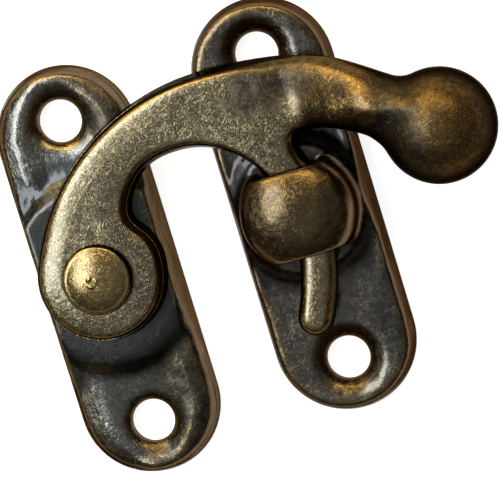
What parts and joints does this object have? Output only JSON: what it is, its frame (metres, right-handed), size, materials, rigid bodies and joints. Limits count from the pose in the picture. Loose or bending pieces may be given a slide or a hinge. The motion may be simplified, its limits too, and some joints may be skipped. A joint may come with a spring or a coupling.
{
  "type": "swing-arm cabinet latch",
  "caption": "Small cast swing-arm latch: a hooked arm with a ball grip pivots on one obround plate and its curved finger slides under the hollow bridge of a keeper plate.",
  "frame": {"origin": "on the pivot axis, in the plane of the backs of both plates", "axes": "+Z out of the cabinet along the pivot axis, +X from the pivot plate to the keeper plate, +Y along the plates"},
  "size_m": [0.0329, 0.0288, 0.0084],
  "materials": {
    "plate_metal": "antique brass over a die casting, dark in the recesses",
    "arm_metal": "antique brass over a die casting, worn bright on the edges",
    "rivet_metal": "antique brass, slightly yellower than the plates"
  },
  "bodies": {
    "base": {"pivot_plate": "plate_metal", "pivot_rivet": "rivet_metal", "keeper_plate": "plate_metal"},
    "arm": {"swing_arm": "arm_metal"}
  },
  "joints": [
    {"name": "arm_swing", "type": "hinge", "parent": "base", "child": "arm", "pos_m": [0, 0, 0], "axis": [0, 0, 1], "range_deg": [0, 270]}
  ]
}
